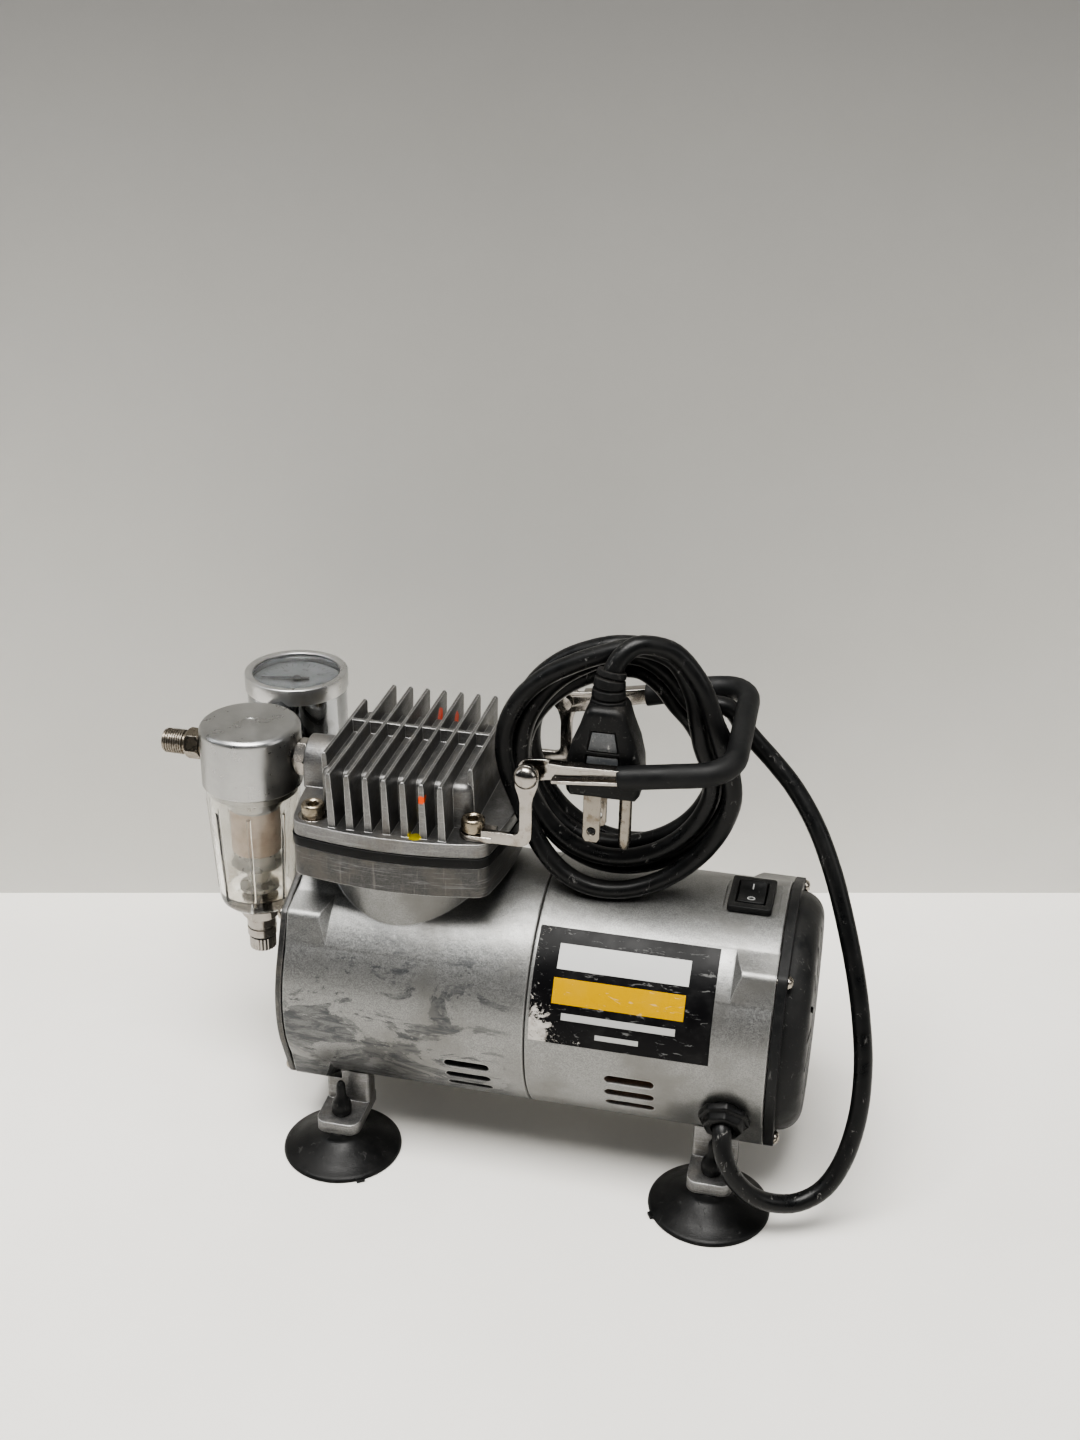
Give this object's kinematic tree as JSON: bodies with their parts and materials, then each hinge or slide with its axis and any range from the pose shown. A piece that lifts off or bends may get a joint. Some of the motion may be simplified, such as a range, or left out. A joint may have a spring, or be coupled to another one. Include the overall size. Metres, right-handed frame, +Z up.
{
  "type": "airbrush air compressor",
  "caption": "Small silver oil-free piston air compressor with finned head, filter and gauge, folding carry handle, suction-cup feet and a coiled power cord.",
  "frame": {"origin": "middle of the machine's footprint on the floor, under the suction cups", "axes": "+X along the motor shaft towards the black fan cover, +Y away from the side with the cord gland, +Z up"},
  "size_m": [0.2821, 0.1374, 0.2152],
  "materials": {
    "silver_paint": "metallic silver enamel, worn and scratched",
    "raw_aluminium": "cast and machined, dull",
    "turned_aluminium": "lathe turned, bright",
    "nickel_plate": "nickel plated, lightly tarnished",
    "chrome": "polished",
    "nickelled_brass": "tarnished",
    "steel": "machined",
    "black_plastic": "fine grain",
    "black_rubber": "dusty",
    "clear_plastic": "clear, lightly stained",
    "filter_felt": "pressed fibre",
    "dial_face": "printed card",
    "copper_winding": "enamelled wire"
  },
  "bodies": {
    "housing": {"crankcase_front": "silver_paint", "motor_housing_rear": "silver_paint", "front_plate": "silver_paint", "front_plate_screw_1": "nickel_plate", "front_plate_screw_2": "nickel_plate", "front_plate_screw_3": "nickel_plate", "front_plate_screw_4": "nickel_plate", "rear_cover_screw_1": "nickel_plate", "rear_cover_screw_2": "nickel_plate", "rear_cover_screw_3": "nickel_plate", "rear_cover_screw_4": "nickel_plate", "handle_bracket_front": "nickel_plate", "handle_bracket_rear": "nickel_plate", "handle_rivet_front": "nickel_plate", "handle_rivet_rear": "nickel_plate", "plug_blade_front": "nickel_plate", "plug_blade_back": "nickel_plate", "plug_ground_pin": "nickel_plate", "rear_cover": "black_plastic", "head_gasket": "black_plastic", "switch_frame": "black_plastic", "cord_gland": "black_plastic", "plug_body": "black_plastic", "cylinder_block": "raw_aluminium", "cylinder_head": "raw_aluminium", "foot_bracket_front_right": "raw_aluminium", "foot_bracket_front_left": "raw_aluminium", "foot_bracket_rear_right": "raw_aluminium", "foot_bracket_rear_left": "raw_aluminium", "head_screw_1": "nickelled_brass", "head_screw_2": "nickelled_brass", "head_screw_3": "nickelled_brass", "head_screw_4": "nickelled_brass", "inlet_nipple": "nickelled_brass", "outlet_nipple": "nickelled_brass", "drain_valve": "nickelled_brass", "suction_cup_front_right": "black_rubber", "suction_cup_front_left": "black_rubber", "suction_cup_rear_right": "black_rubber", "suction_cup_rear_left": "black_rubber", "power_cord": "black_rubber", "cord_coil": "black_rubber", "filter_cap": "turned_aluminium", "filter_bowl": "clear_plastic", "gauge_lens": "clear_plastic", "filter_element": "filter_felt", "gauge_case": "chrome", "gauge_dial": "dial_face", "stator": "copper_winding", "front_bearing": "steel", "rear_bearing": "steel"},
    "handle": {"handle_bail": "nickel_plate", "handle_grip": "black_plastic"},
    "rocker": {"switch_rocker": "black_plastic"},
    "drain": {"drain_knob": "nickelled_brass"},
    "needle": {"gauge_needle": "black_plastic"},
    "shaft": {"rotor": "steel", "cooling_fan": "black_plastic", "crank_eccentric": "steel"},
    "piston": {"piston_rod": "raw_aluminium"}
  },
  "joints": [
    {"name": "handle_swing", "type": "hinge", "parent": "housing", "child": "handle", "pos_m": [0.0232, -0.0038, 0.1697], "axis": [0, -1, 0], "range_deg": [0, 160]},
    {"name": "switch_rock", "type": "hinge", "parent": "housing", "child": "rocker", "pos_m": [0.1023, -0.0048, 0.1127], "axis": [-1, 0, 0], "range_deg": [0, 14]},
    {"name": "drain_turn", "type": "hinge", "parent": "housing", "child": "drain", "pos_m": [-0.0937, -0.0038, 0.063], "axis": [0, 0, 1], "range_deg": [0, 270]},
    {"name": "needle_turn", "type": "hinge", "parent": "housing", "child": "needle", "pos_m": [-0.0937, 0.0477, 0.1544], "axis": [0, 0, -1], "range_deg": [0, 270]},
    {"name": "motor_spin", "type": "hinge", "parent": "housing", "child": "shaft", "pos_m": [0.0275, -0.0038, 0.065], "axis": [1, 0, 0], "continuous": true},
    {"name": "piston_slide", "type": "slide", "parent": "housing", "child": "piston", "axis": [0, 0, 1], "range_m": [-0.005, 0.005]}
  ]
}
